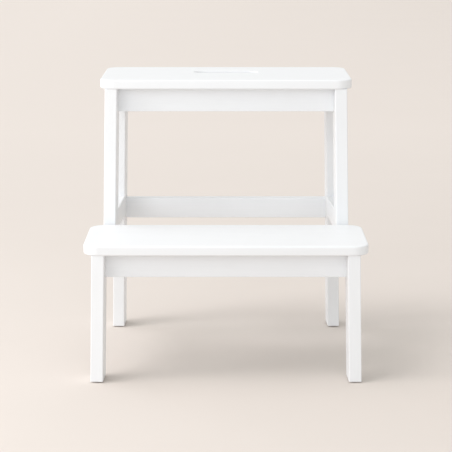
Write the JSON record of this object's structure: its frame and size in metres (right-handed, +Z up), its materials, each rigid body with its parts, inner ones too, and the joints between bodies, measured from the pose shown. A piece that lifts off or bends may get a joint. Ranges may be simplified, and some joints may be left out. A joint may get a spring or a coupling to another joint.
{
  "type": "step stool",
  "caption": "Low painted wooden step stool with a wide bottom step, a narrower top step with a slotted hand hole, and slanted rear legs.",
  "frame": {"origin": "on the floor, at the centre of the stool's overall footprint", "axes": "+Z up, -Y towards the front, where the bottom step is, +X to the right as seen from the front"},
  "size_m": [0.436, 0.38, 0.45],
  "materials": {
    "white_paint": "white satin paint over solid wood",
    "beech_dowel": "plain sanded beech",
    "zinc_steel": "bright zinc plating",
    "yellow_zinc_steel": "yellow zinc plating",
    "glide_plastic": "moulded, matte"
  },
  "bodies": {
    "root": {"top_step": "white_paint", "bottom_step": "white_paint", "left_front_leg": "white_paint", "right_front_leg": "white_paint", "left_middle_leg": "white_paint", "right_middle_leg": "white_paint", "left_rear_leg": "white_paint", "right_rear_leg": "white_paint", "left_front_side_rail": "white_paint", "right_front_side_rail": "white_paint", "left_rear_side_rail": "white_paint", "right_rear_side_rail": "white_paint", "left_upper_side_rail": "white_paint", "right_upper_side_rail": "white_paint", "lower_front_apron": "white_paint", "lower_back_rail": "white_paint", "upper_front_apron": "white_paint", "upper_rear_apron": "white_paint", "rear_stretcher": "white_paint", "dowels": "beech_dowel", "connector_bolts": "zinc_steel", "barrel_nuts": "zinc_steel", "step_screws": "yellow_zinc_steel", "foot_glides": "glide_plastic"}
  },
  "joints": []
}
